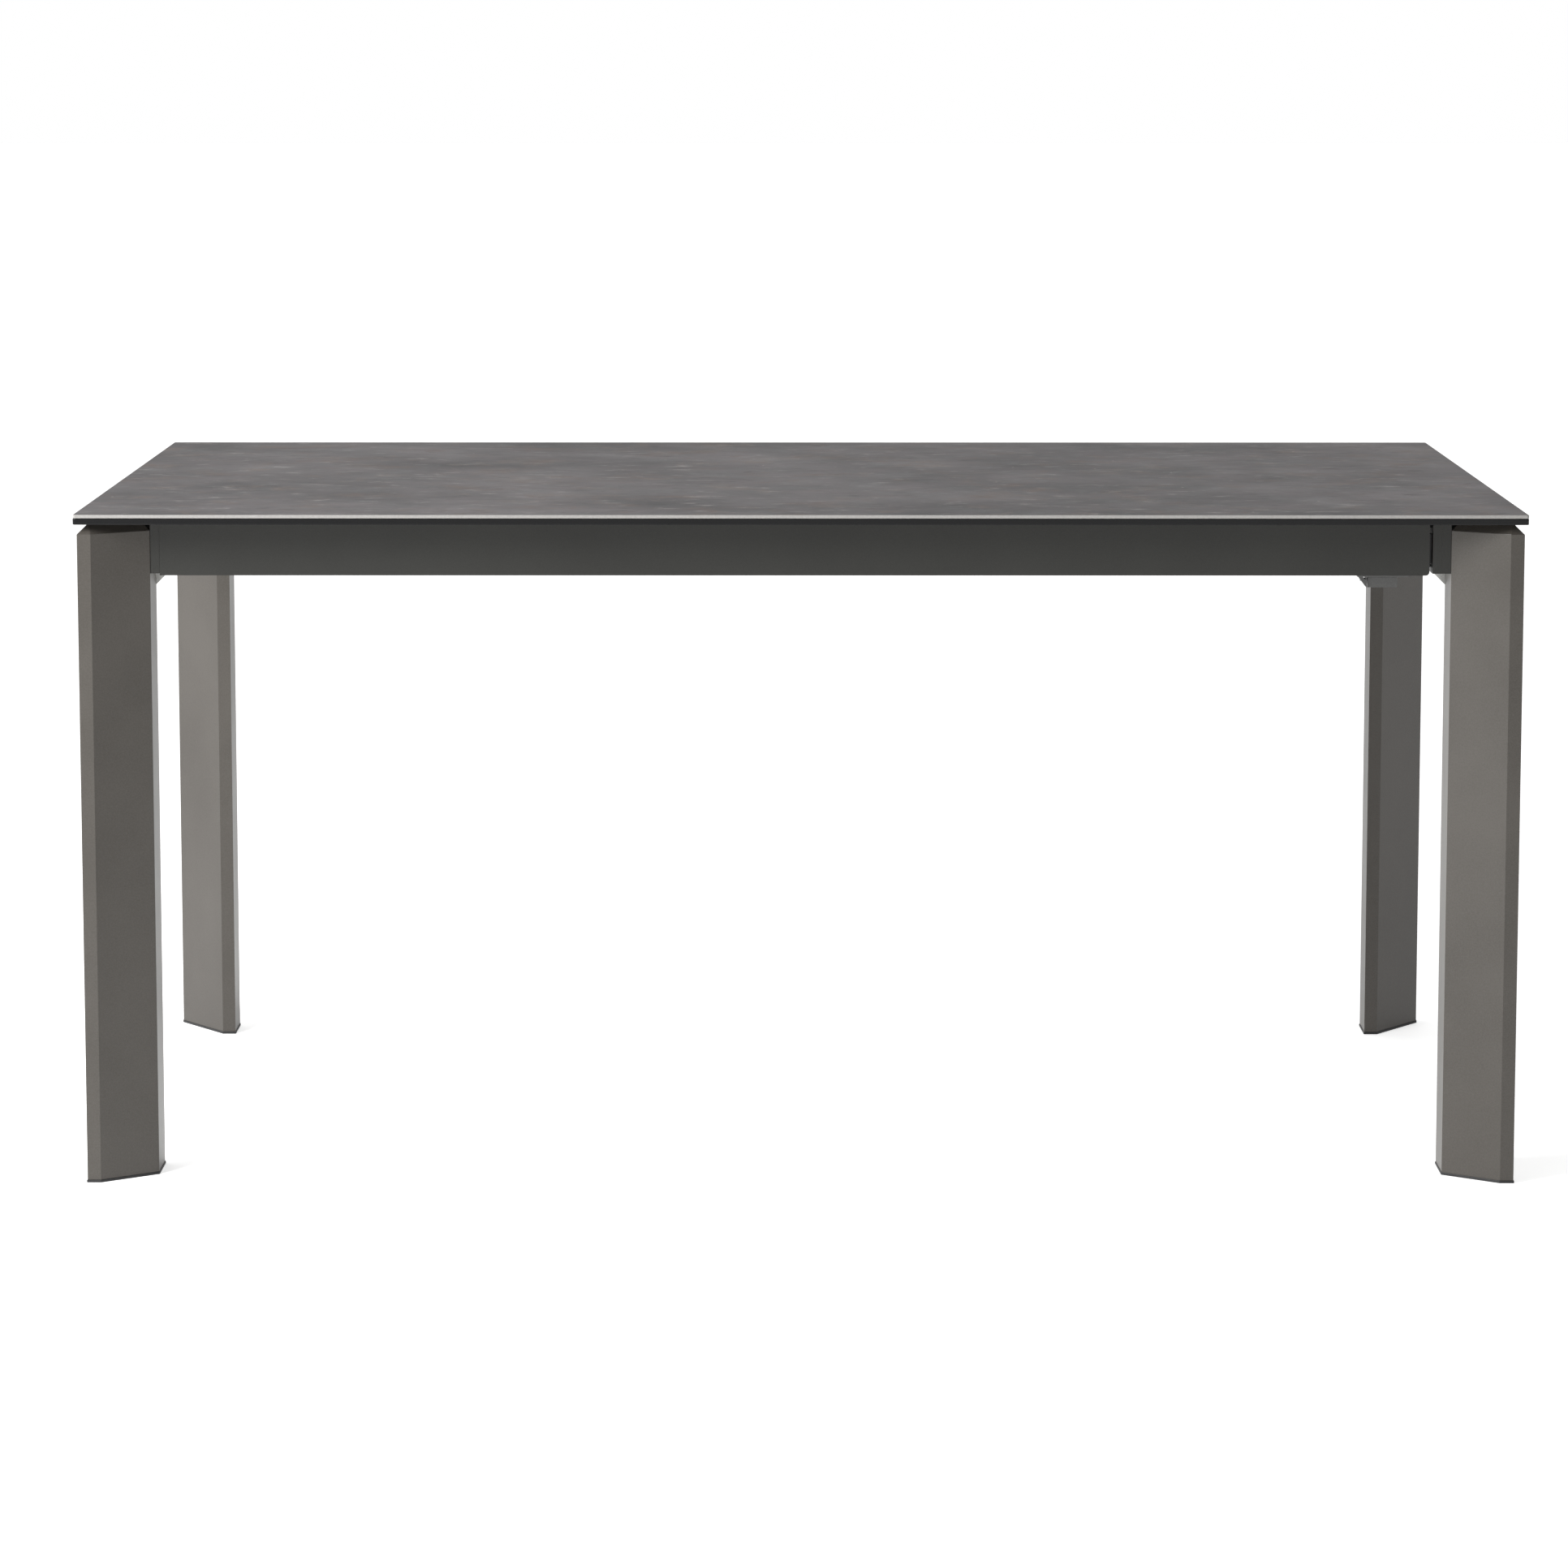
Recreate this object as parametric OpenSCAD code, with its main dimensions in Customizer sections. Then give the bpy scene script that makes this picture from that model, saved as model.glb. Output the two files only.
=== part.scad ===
/* [Top] */
// Length of the closed top, along X
top_l = 1600; // [1450:10:2000]
// Width of the top, along Y
top_w = 900; // [780:10:1150]
// Height of the top's upper face above the floor
table_h = 750; // [600:5:920]
// Thickness of the ceramic layer
ceramic_t = 4; // [3:0.5:6]
// Thickness of the tempered glass that carries the ceramic
glass_t = 7; // [6:0.5:10]
// Radius of the slab's corners seen from above
corner_r = 3; // [1:0.5:10]
// Thickness of the bonded discs and pads between glass and frame
disc_t = 3; // [2:0.5:5]

/* [Legs] */
// How far the legs' outer faces lie inside the top's edge
leg_inset = 4; // [1:1:20]
// Width of the leg's narrow face that looks along Y
leg_nose_x = 15; // [10:1:25]
// Width of the leg's narrow face that looks along X
leg_nose_y = 20; // [12:1:30]
// Length of the leg's section along X
leg_u = 75; // [60:1:95]
// Where the leg's inner side face starts, along Y
leg_shoulder = 40; // [30:1:50]
// Length of the leg's section along Y
leg_v = 92; // [78:1:112]
// Width of the leg's inner end face
leg_tail = 16; // [12:1:24]
// Sheet thickness of the leg tube
leg_wall = 2; // [1.5:0.1:3]
// Height of the bevelled cap on top of each leg
cap_h = 10; // [6:0.5:12]
// Running gap between the leg caps and the slab
cap_gap = 1; // [0.5:0.1:2]
// Visible thickness of the plastic foot
foot_t = 3; // [2:0.5:6]
// How far the plastic foot stands proud of the tube
foot_lip = 0.8; // [0.4:0.1:1.5]

/* [Frame] */
// Height of the long aprons
apron_h = 58; // [54:1:70]
// Depth of the apron profile
apron_d = 30; // [28:1:40]
// Wall of the apron profile
apron_wall = 3; // [2:0.2:4]
// How much higher the end blocks and end rails stop than the aprons
end_rise = 2; // [1:0.5:4]
// Thickness of the leg mounting plates
plate_t = 10.5; // [9:0.5:14]
// Length of the pull-out end blocks, along X
block_l = 10; // [9:0.5:20]
// Gap between the apron and the pull-out end block when closed
closing_gap = 3.6; // [3:0.2:8]
// Radius of the apron's lower corner at the pull-out end
apron_corner_r = 4; // [1:0.5:8]
// Width of the end rails, along X
end_rail_d = 25; // [20:1:32]
// How far the corner bracket drops below the end rail
bracket_drop = 18; // [12:1:24]
// How far the corner bracket reaches past the leg
bracket_reach = 17; // [12:1:24]

/* [Extension] */
// Travel of the pull-out end
travel = 600; // [400:10:640]
// Height of the folded leaf's bearers
bearer_h = 14; // [12:1:16]
// Thickness of the felt discs between the two folded leaf halves
felt_t = 2; // [1:0.5:3]
// Radius of the leaf's hinge pins
hinge_pin_r = 1.2; // [1:0.1:1.4]

/* [Lock] */
// Width of the lock's paddle
paddle_w = 38; // [30:1:50]
// How far the lock drops below the apron
lock_drop = 16.5; // [14:0.5:20]
// Radius of the lock's pivot pin
lock_pin_r = 2; // [1.5:0.1:2.2]

/* [Hidden] */

paint = [0.40, 0.38, 0.36];
zinc = [0.80, 0.80, 0.79];
steel = [0.62, 0.63, 0.65];
nylon = [0.90, 0.89, 0.86];
plastic = [0.17, 0.17, 0.18];
lever_grey = [0.30, 0.30, 0.30];
rubber = [0.08, 0.08, 0.08];
felt = [0.25, 0.24, 0.23];
ceramic = [0.36, 0.35, 0.35];
glass = [0.12, 0.12, 0.13];

round_fn = 48;
running_gap = 0.3;          // between parts that slide past each other
pin_clear = 0.05;           // radial clearance of a pin in its bore
seam = 0.05;                // clearance of a fastener's shank in its hole

// Levels above the floor
slab_bottom = table_h - ceramic_t - glass_t;
frame_top = slab_bottom - disc_t;
apron_bottom = frame_top - apron_h;
rail_bottom = apron_bottom + end_rise;
cap_top = slab_bottom - cap_gap;
cap_bottom = cap_top - cap_h;

// The legs' outer faces, and X and Y of the frame's parts
leg_x = top_l / 2 - leg_inset;
leg_y = top_w / 2 - leg_inset;
apron_v = leg_shoulder + 1;                       // apron's outer face, from the leg's outer face
apron_inner_v = apron_v + apron_d;
plate_u = leg_u + plate_t;                        // leg plate's inner face, from the leg's outer face
apron_left = -leg_x + plate_u;
moving_block_x = leg_x - plate_u - block_l;
apron_right = moving_block_x - closing_gap;
rail_outer_u = leg_u - leg_tail + 1;              // end rail's outer face
rail_inner_u = rail_outer_u + end_rail_d;
inner_y = leg_y - apron_inner_v;                  // half the clear width between the aprons

// Leg section, counter-clockwise from the outer corner; u runs along X and v along Y, both inwards
leg_section = [
  [0, 0], [leg_nose_x, 0], [leg_u, leg_shoulder],
  [leg_u, leg_v], [leg_u - leg_tail, leg_v], [0, leg_nose_y]
];

function left_normal(e) = [-e.y, e.x] / norm(e);
function inset(p, d) = [
  for (i = [0 : len(p) - 1])
    let (
      a = p[(i + len(p) - 1) % len(p)],
      b = p[i],
      c = p[(i + 1) % len(p)],
      n1 = left_normal(b - a),
      n2 = left_normal(c - b)
    )
    b + d * (n1 + n2) / (1 + n1 * n2)
];

// Puts something drawn at a corner (u, v inwards) at the corner on side sx, sy
module at_corner(sx, sy) {
  translate([sx * leg_x, sy * leg_y, 0])
    mirror([sx > 0 ? 1 : 0, 0, 0])
      mirror([0, sy > 0 ? 1 : 0, 0])
        children();
}

module at_both(sx) {
  for (sy = [-1, 1]) at_corner(sx, sy) children();
}

// Puts something drawn for the front (y from the front leg face, inwards) on side sy
module on_side(sy) {
  translate([0, sy * leg_y, 0]) mirror([0, sy > 0 ? 1 : 0, 0]) children();
}

module box(lo, hi) {
  translate(lo) cube(hi - lo);
}

module prism(outline, z0, z1) {
  translate([0, 0, z0]) linear_extrude(z1 - z0) polygon(outline);
}

module rod_x(x0, x1, y, z, r) {
  translate([x0, y, z]) rotate([0, 90, 0]) cylinder(h = x1 - x0, r = r, $fn = round_fn);
}

module rod_y(x, y0, y1, z, r) {
  translate([x, y0, z]) rotate([-90, 0, 0]) cylinder(h = y1 - y0, r = r, $fn = round_fn);
}

module rod_z(x, y, z0, z1, r) {
  translate([x, y, z0]) cylinder(h = z1 - z0, r = r, $fn = round_fn);
}

// ---------- Top: ceramic bonded on tempered glass ----------

module slab(x0, x1, y0, y1, z0, z1) {
  r = corner_r;
  translate([0, 0, z0])
    linear_extrude(z1 - z0)
      union() {
        translate([x0 + r, y0]) square([x1 - x0 - 2 * r, y1 - y0]);
        translate([x0, y0 + r]) square([x1 - x0, y1 - y0 - 2 * r]);
        for (x = [x0 + r, x1 - r], y = [y0 + r, y1 - r])
          translate([x, y]) circle(r = r, $fn = round_fn);
      }
}

module top_ceramic() {
  color(ceramic)
    slab(-top_l / 2, top_l / 2, -top_w / 2, top_w / 2, table_h - ceramic_t, table_h);
}

module top_glass() {
  color(glass)
    slab(-top_l / 2, top_l / 2, -top_w / 2, top_w / 2, slab_bottom, table_h - ceramic_t);
}

// Cross members carry the slab through bonded discs; clear pads sit along the aprons
cross_w = 40;
cross_h = 20;
cross_x = [apron_left + 140, apron_left + 600];   // the two tubes under the fixed half
strip_x = apron_right - 80;                       // the flat strip over the folded leaf
strip_t = 3;
disc_r = 18;
disc_y = inner_y * 0.75;
disc_screw_r = 2.5;
disc_hole_depth = disc_t - 0.5;
disc_places = [for (x = concat(cross_x, [strip_x]), y = [-disc_y, disc_y]) [x, y]];

module top_discs() {
  color(steel)
    for (p = disc_places)
      difference() {
        rod_z(p.x, p.y, frame_top, slab_bottom, disc_r);
        rod_z(p.x, p.y, frame_top - 1, frame_top + disc_hole_depth, disc_screw_r + seam);
      }
}

pad_r = 8;
pad_n = 5;
module top_pads() {
  color(nylon)
    for (sy = [-1, 1], i = [0 : pad_n - 1])
      on_side(sy)
        rod_z(
          apron_left + 60 + i * (apron_right - apron_left - 120) / (pad_n - 1),
          apron_v + apron_d / 2, frame_top, slab_bottom, pad_r
        );
}

// ---------- Frame ----------

lip_t = 2;
lip_h = 5;

// C profile, open towards the inside, with return lips
apron_section = [
  [apron_v, apron_bottom], [apron_inner_v, apron_bottom],
  [apron_inner_v, apron_bottom + apron_wall + lip_h],
  [apron_inner_v - lip_t, apron_bottom + apron_wall + lip_h],
  [apron_inner_v - lip_t, apron_bottom + apron_wall],
  [apron_v + apron_wall, apron_bottom + apron_wall],
  [apron_v + apron_wall, frame_top - apron_wall],
  [apron_inner_v - lip_t, frame_top - apron_wall],
  [apron_inner_v - lip_t, frame_top - apron_wall - lip_h],
  [apron_inner_v, frame_top - apron_wall - lip_h],
  [apron_inner_v, frame_top], [apron_v, frame_top]
];

// What rounds off the apron's lower corner at the pull-out end
module apron_corner_cut() {
  r = apron_corner_r;
  difference() {
    box([apron_right - r, apron_v - 1, apron_bottom - 1],
        [apron_right + 1, apron_inner_v + 1, apron_bottom + r]);
    rod_y(apron_right - r, apron_v - 2, apron_inner_v + 2, apron_bottom + r, r);
  }
}

module apron_at(sy) {
  color(paint)
    on_side(sy)
      difference() {
        translate([apron_left, 0, 0])
          rotate([90, 0, 90])
            linear_extrude(apron_right - apron_left) polygon(apron_section);
        apron_corner_cut();
        for (x = cross_x, dx = [-cross_screw_dx, cross_screw_dx], z = cross_screw_z)
          rod_y(x + dx, apron_inner_v - lip_t - 1, apron_inner_v + 1, z, cross_screw_r + seam);
      }
}

module apron_front() { apron_at(-1); }
module apron_back() { apron_at(1); }

end_rail_wall = 2;
rail_plate_t = 7;
bracket_screw_r = 2.5;
bracket_screw_v = [leg_v + 22, leg_v + 40];
bracket_screw_u = (rail_outer_u + rail_inner_u) / 2;

// Rectangular tube between the legs, with a plate welded on each end
module end_rail(sx) {
  w = end_rail_wall;
  y1 = leg_y - leg_v - rail_plate_t;
  color(paint)
    difference() {
      union() {
        translate([sx * leg_x, 0, 0])
          mirror([sx > 0 ? 1 : 0, 0, 0])
            difference() {
              box([rail_outer_u, -y1, rail_bottom], [rail_inner_u, y1, frame_top]);
              box([rail_outer_u + w, -y1 - 1, rail_bottom + w], [rail_inner_u - w, y1 + 1, frame_top - w]);
            }
        at_both(sx)
          box([rail_outer_u, leg_v, rail_bottom], [rail_inner_u, leg_v + rail_plate_t, frame_top]);
      }
      at_both(sx)
        for (v = bracket_screw_v)
          rod_z(bracket_screw_u, v, rail_bottom - 1, rail_bottom + w + 1, bracket_screw_r + seam);
    }
}

module end_rail_fixed() { end_rail(-1); }
module end_rail_moving() { end_rail(1); }

// Nylon pads on the pull-out end rail, on which the slab's end glides
end_pad_r = 9;
end_pad_y = leg_y - leg_v - 110;
module end_rail_pads() {
  color(nylon)
    for (y = [-end_pad_y, 0, end_pad_y])
      rod_z(leg_x - (rail_outer_u + rail_inner_u) / 2, y, frame_top, slab_bottom - running_gap, end_pad_r);
}

bolt_r = 4;
bolt_head_r = 6.5;
bolt_head_h = 4.5;
bolt_pocket = 5;
bolt_v = apron_inner_v - 7.5;
bolt_z = [rail_bottom + 14, rail_bottom + 30];

// Bore for the two bolts, with pockets for their heads in the face at u
module corner_bores(u0, u, pocket) {
  for (z = bolt_z) {
    rod_x(u0 - 1, u + 1, bolt_v, z, bolt_r + seam);
    if (pocket) rod_x(u - bolt_pocket, u + 1, bolt_v, z, bolt_head_r + 0.5);
  }
}

// Plate between the leg's side face and the apron, or the pull-out end block
module leg_plate(pocket) {
  difference() {
    box([leg_u, apron_v, rail_bottom], [plate_u, leg_v, frame_top]);
    corner_bores(leg_u, plate_u, pocket);
  }
}

module leg_plates_fixed() { color(paint) at_both(-1) leg_plate(true); }
module leg_plates_moving() { color(paint) at_both(1) leg_plate(false); }

// Tongues on the fixed leg plates, over which the apron profiles are slid
tongue_l = 40;
tongue_d = 12;
tongue_clear = 1;
module end_blocks_fixed() {
  color(paint)
    at_both(-1)
      box([plate_u, apron_v + apron_wall, apron_bottom + apron_wall + tongue_clear],
          [plate_u + tongue_l, apron_v + apron_wall + tongue_d, frame_top - apron_wall - tongue_clear]);
}

// Blocks that close the aprons' ends and carry the inner rails
module end_blocks_moving() {
  color(paint)
    at_both(1)
      difference() {
        box([plate_u, apron_v, rail_bottom], [plate_u + block_l, apron_inner_v, frame_top]);
        corner_bores(plate_u, plate_u + block_l, true);
      }
}

nut_plate_t = 5;
module nut_plate() {
  inner = leg_u - leg_wall;
  difference() {
    box([inner - nut_plate_t, leg_shoulder + 4, bolt_z[0] - 9], [inner, leg_v - leg_wall - 4, bolt_z[1] + 9]);
    for (z = bolt_z) rod_x(inner - nut_plate_t - 1, inner + 1, bolt_v, z, bolt_r + seam);
  }
}

module nut_plates_fixed() { color(steel) at_both(-1) nut_plate(); }
module nut_plates_moving() { color(steel) at_both(1) nut_plate(); }

hex_socket_r = 3.4;
hex_socket_depth = 3;
module hex_head(x0, x1, y, z) {
  difference() {
    rod_x(x0, x1, y, z, bolt_head_r);
    translate([x1 - hex_socket_depth, y, z])
      rotate([0, 90, 0]) cylinder(h = hex_socket_depth + 1, r = hex_socket_r, $fn = 6);
  }
}

// Socket bolts along X through block, plate and leg; one bolt along Y holds the bracket to the leg
bracket_bolt_u = leg_u - leg_tail / 2;
bracket_bolt_z = rail_bottom - bracket_drop * 0.55;
bracket_bolt_r = 3;
bracket_head_r = 5;
bracket_head_h = 3.2;
bracket_t = 3;
screw_head_r = 4.6;
screw_head_h = 2.4;
bolt_end = 3;                                     // what bolts show beyond the nut plate
screw_end = 6;
module corner_bolt_set(face_u) {
  head = face_u - bolt_pocket;
  for (z = bolt_z) {
    rod_x(leg_u - leg_wall - nut_plate_t - bolt_end, head, bolt_v, z, bolt_r);
    hex_head(head, head + bolt_head_h, bolt_v, z);
  }
  bracket_v = leg_v + bracket_t;
  rod_y(bracket_bolt_u, leg_v - 10, bracket_v, bracket_bolt_z, bracket_bolt_r);
  rod_y(bracket_bolt_u, bracket_v, bracket_v + bracket_head_h, bracket_bolt_z, bracket_head_r);
  low = rail_bottom - bracket_t;
  for (v = bracket_screw_v) {
    rod_z(bracket_screw_u, v, low, rail_bottom + end_rail_wall + screw_end, bracket_screw_r);
    rod_z(bracket_screw_u, v, low - screw_head_h, low, screw_head_r);
  }
}

module corner_bolts_fixed() { color(zinc) at_both(-1) corner_bolt_set(plate_u); }
module corner_bolts_moving() { color(zinc) at_both(1) corner_bolt_set(plate_u + block_l); }

// Zinc-plated angle: one leaf on the leg's inner end face, one under the end rail
module corner_bracket() {
  low = rail_bottom - bracket_drop;
  far_u = leg_u + bracket_reach;
  difference() {
    union() {
      translate([0, leg_v + bracket_t, 0])
        rotate([90, 0, 0])
          linear_extrude(bracket_t)
            polygon([
              [leg_u - leg_tail, low], [leg_u, low],
              [far_u, low + bracket_reach], [far_u, rail_bottom],
              [leg_u - leg_tail, rail_bottom]
            ]);
      box([leg_u - leg_tail, leg_v, rail_bottom - bracket_t], [far_u, leg_v + 52, rail_bottom]);
    }
    rod_y(bracket_bolt_u, leg_v - 1, leg_v + bracket_t + 1, bracket_bolt_z, bracket_bolt_r + seam);
    for (v = bracket_screw_v)
      rod_z(bracket_screw_u, v, rail_bottom - bracket_t - 1, rail_bottom + 1, bracket_screw_r + seam);
  }
}

module corner_brackets_fixed() { color(zinc) at_both(-1) corner_bracket(); }
module corner_brackets_moving() { color(zinc) at_both(1) corner_bracket(); }

cross_screw_r = 2;
cross_screw_dx = cross_w / 2 + 8;
cross_screw_z = [apron_bottom + apron_wall + lip_h / 2, frame_top - apron_wall - lip_h / 2];
cross_end_t = 3;
cross_wall = 2;

module cross_tube(x) {
  difference() {
    box([x - cross_w / 2, -inner_y + cross_end_t, frame_top - cross_h],
        [x + cross_w / 2, inner_y - cross_end_t, frame_top]);
    box([x - cross_w / 2 + cross_wall, -inner_y, frame_top - cross_h + cross_wall],
        [x + cross_w / 2 - cross_wall, inner_y, frame_top - cross_wall]);
    for (y = [-disc_y, disc_y])
      rod_z(x, y, frame_top - cross_h - 1, frame_top + 1, disc_screw_r + seam);
  }
}

module cross_end(x) {
  difference() {
    box([x - cross_w / 2 - 16, -inner_y, apron_bottom + apron_wall],
        [x + cross_w / 2 + 16, -inner_y + cross_end_t, frame_top]);
    for (dx = [-cross_screw_dx, cross_screw_dx], z = cross_screw_z)
      rod_y(x + dx, -inner_y - 1, -inner_y + cross_end_t + 1, z, cross_screw_r + seam);
  }
}

module cross_members() {
  color(paint) {
    for (x = cross_x)
      union() {
        cross_tube(x);
        cross_end(x);
        mirror([0, 1, 0]) cross_end(x);
      }
    difference() {
      box([strip_x - cross_w / 2, -inner_y, frame_top - strip_t],
          [strip_x + cross_w / 2, inner_y, frame_top]);
      for (y = [-disc_y, disc_y])
        rod_z(strip_x, y, frame_top - strip_t - 1, frame_top + 1, disc_screw_r + seam);
    }
  }
}

module cross_member_screws() {
  color(zinc) {
    for (sy = [-1, 1], x = cross_x, dx = [-cross_screw_dx, cross_screw_dx], z = cross_screw_z)
      on_side(sy) {
        rod_y(x + dx, apron_inner_v - lip_t - 3, apron_inner_v + cross_end_t, z, cross_screw_r);
        rod_y(x + dx, apron_inner_v + cross_end_t, apron_inner_v + cross_end_t + 2, z, 2 * cross_screw_r);
      }
    for (p = disc_places) {
      plate = p.x == strip_x ? strip_t : cross_h;
      rod_z(p.x, p.y, frame_top - plate, frame_top + disc_hole_depth - 0.3, disc_screw_r);
      rod_z(p.x, p.y, frame_top - plate - 1.6, frame_top - plate, 2 * disc_screw_r);
    }
  }
}

// ---------- Legs ----------

leg_bottom = foot_t;

module leg_tube() {
  difference() {
    prism(leg_section, leg_bottom, cap_bottom);
    prism(inset(leg_section, leg_wall), leg_bottom - 1, cap_bottom + 1);
    for (z = bolt_z) rod_x(leg_u - leg_wall - 1, leg_u + 1, bolt_v, z, bolt_r + seam);
    rod_y(bracket_bolt_u, leg_v - leg_wall - 1, leg_v + 1, bracket_bolt_z, bracket_bolt_r + seam);
  }
}

module leg_front_left() { color(paint) at_corner(-1, -1) leg_tube(); }
module leg_back_left() { color(paint) at_corner(-1, 1) leg_tube(); }
module leg_front_right() { color(paint) at_corner(1, -1) leg_tube(); }
module leg_back_right() { color(paint) at_corner(1, 1) leg_tube(); }

plug_clear = 0.2;
top_plug_h = 8;
foot_plug_h = 16;
foot_plug_wall = 3;

// Solid with a flat-sided bottom outline and a smaller top outline of as many points
module frustum(bottom, top, z0, z1) {
  n = len(bottom);
  polyhedron(
    points = concat([for (p = bottom) [p.x, p.y, z0]], [for (p = top) [p.x, p.y, z1]]),
    faces = concat(
      [[for (i = [0 : n - 1]) i]],
      [[for (i = [n - 1 : -1 : 0]) n + i]],
      [for (i = [0 : n - 1]) [(i + 1) % n, i, n + i, n + (i + 1) % n]]
    )
  );
}

// Solid cap whose sides all lean in at 45 degrees, with a plug that sits in the tube
module leg_top_cap() {
  frustum(leg_section, inset(leg_section, cap_h), cap_bottom, cap_top);
  prism(inset(leg_section, leg_wall + plug_clear), cap_bottom - top_plug_h, cap_bottom);
}

module leg_top_caps_fixed() { color(paint) at_both(-1) leg_top_cap(); }
module leg_top_caps_moving() { color(paint) at_both(1) leg_top_cap(); }

module foot_cap() {
  union() {
    prism(inset(leg_section, -foot_lip), 0, foot_t);
    difference() {
      prism(inset(leg_section, leg_wall + plug_clear), foot_t, foot_t + foot_plug_h);
      prism(inset(leg_section, leg_wall + plug_clear + foot_plug_wall), foot_t, foot_t + foot_plug_h + 1);
    }
  }
}

module foot_caps_fixed() { color(plastic) at_both(-1) foot_cap(); }
module foot_caps_moving() { color(plastic) at_both(1) foot_cap(); }

// ---------- Telescopic rails inside the aprons ----------

rail_gap = 4;                                     // room above and below the outer rail
outer_lo = [apron_v + apron_wall, apron_bottom + apron_wall + rail_gap - 1];
outer_hi = [apron_v + apron_wall + 17, frame_top - apron_wall - rail_gap + 1];
outer_wall = 1.6;
bush_t = 1.2;
middle_wall = 1.6;
step = outer_wall + bush_t + running_gap;         // from one rail's outside to the next one's
inner_step = middle_wall + bush_t + running_gap;
middle_lo = outer_lo + [step, step];
middle_hi = outer_hi - [step, step];
inner_lo = middle_lo + [inner_step, inner_step];
inner_hi = middle_hi - [inner_step, inner_step];
overlap_l = 0.13 * travel;                        // what stays inside beyond half the travel
rail_l = travel + overlap_l;
rail_x0 = apron_right - rail_l;
bush_l = 12;

module rect_bar(x0, x1, lo, hi) {
  box([x0, lo.x, lo.y], [x1, hi.x, hi.y]);
}

module rect_tube(x0, x1, lo, hi, wall) {
  difference() {
    rect_bar(x0, x1, lo, hi);
    rect_bar(x0 - 1, x1 + 1, lo + [wall, wall], hi - [wall, wall]);
  }
}

module outer_rail(sy) {
  color(steel) on_side(sy) rect_tube(rail_x0, apron_right, outer_lo, outer_hi, outer_wall);
}
module outer_rail_front() { outer_rail(-1); }
module outer_rail_back() { outer_rail(1); }

// Nylon collar at the outer rail's mouth; the middle rail runs in it
module outer_rail_bushes() {
  color(nylon)
    for (sy = [-1, 1])
      on_side(sy)
        rect_tube(apron_right - bush_l, apron_right,
                  outer_lo + [outer_wall, outer_wall], outer_hi - [outer_wall, outer_wall], bush_t);
}

module middle_rail(sy) {
  color(steel) on_side(sy) rect_tube(rail_x0 + 2, apron_right, middle_lo, middle_hi, middle_wall);
}
module middle_rail_front() { middle_rail(-1); }
module middle_rail_back() { middle_rail(1); }

// Collar around the middle rail's inner end, and one in its mouth for the inner bar
module middle_bushes(sy) {
  color(nylon)
    on_side(sy) {
      rect_tube(rail_x0 + 2, rail_x0 + 2 + bush_l,
                middle_lo - [bush_t, bush_t], middle_hi + [bush_t, bush_t], bush_t);
      rect_tube(apron_right - bush_l, apron_right,
                middle_lo + [middle_wall, middle_wall], middle_hi - [middle_wall, middle_wall], bush_t);
    }
}
module middle_bushes_front() { middle_bushes(-1); }
module middle_bushes_back() { middle_bushes(1); }

module inner_rail(sy) {
  color(steel) on_side(sy) rect_bar(rail_x0 + 4, moving_block_x, inner_lo, inner_hi);
}
module inner_rail_front() { inner_rail(-1); }
module inner_rail_back() { inner_rail(1); }

// Collar around the inner bar's rear end
module inner_bushes() {
  color(nylon)
    for (sy = [-1, 1])
      on_side(sy)
        rect_tube(rail_x0 + 4, rail_x0 + 4 + bush_l,
                  inner_lo - [bush_t, bush_t], inner_hi + [bush_t, bush_t], bush_t);
}

// Rubber buffers on the moving blocks, which soften the closing stop
buffer_t = 2.4;
buffer_r = 2.6;
module end_buffers() {
  color(rubber)
    for (sy = [-1, 1])
      on_side(sy)
        rod_x(moving_block_x - buffer_t, moving_block_x, apron_v + apron_d / 2, frame_top - 4, buffer_r);
}

// ---------- Folded leaf on the pull-out end ----------

guide_x = apron_right - 160;                      // lower strip that the bearers glide on
guide_w = 40;
guide_t = 3;
glide_t = 2.5;
bearer_w = 30;
bearer_y = 170;
bearer_z = apron_bottom + apron_wall + glide_t + running_gap;
bearer_x1 = leg_x - rail_inner_u;                 // end rail's inner face
leaf_l = travel - 2;
leaf_x1 = bearer_x1 - 8;
leaf_x0 = leaf_x1 - leaf_l;
leaf_half_w = top_w / 2;
cradle_t = 4;
cradle_z = bearer_z + bearer_h + running_gap;
leaf_z = cradle_z + cradle_t;
slab_t = ceramic_t + glass_t;
upper_leaf_z = leaf_z + slab_t + felt_t;
bearer_x0 = guide_x - guide_w / 2 - travel - 20;  // still on the guide when pulled out

module guide_strip() {
  color(steel)
    box([guide_x - guide_w / 2, -inner_y, apron_bottom],
        [guide_x + guide_w / 2, inner_y, apron_bottom + guide_t]);
}

module guide_glides() {
  color(nylon)
    for (y = [-bearer_y, bearer_y])
      box([guide_x - guide_w / 2, y - bearer_w / 2, apron_bottom + guide_t],
          [guide_x + guide_w / 2, y + bearer_w / 2, apron_bottom + guide_t + glide_t]);
}

// The arms carry the leaf up to the slab's level and outwards to the table's end
lift_h = slab_bottom - leaf_z;
lift_shift = top_l / 2 - leaf_x1;
arm_l = (lift_shift * lift_shift + lift_h * lift_h) / (2 * lift_shift);
arm_t = 3;
arm_h = 9;
arm_pin_r = 2.5;
arm_z = bearer_z + bearer_h / 2;
cradle_x0 = leaf_x0 + 4;
cradle_x1 = leaf_x1 - lift_shift - 10;
cradle_pin_x = [cradle_x0 + 60, cradle_x1 - 20];  // pins in the cradle's ears
arm_far_x = [for (x = cradle_pin_x) x + arm_l];   // pins in the bearers
arm_y = bearer_y + bearer_w / 2 + running_gap;    // arm's face next to the bearer
ear_t = 3;

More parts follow.
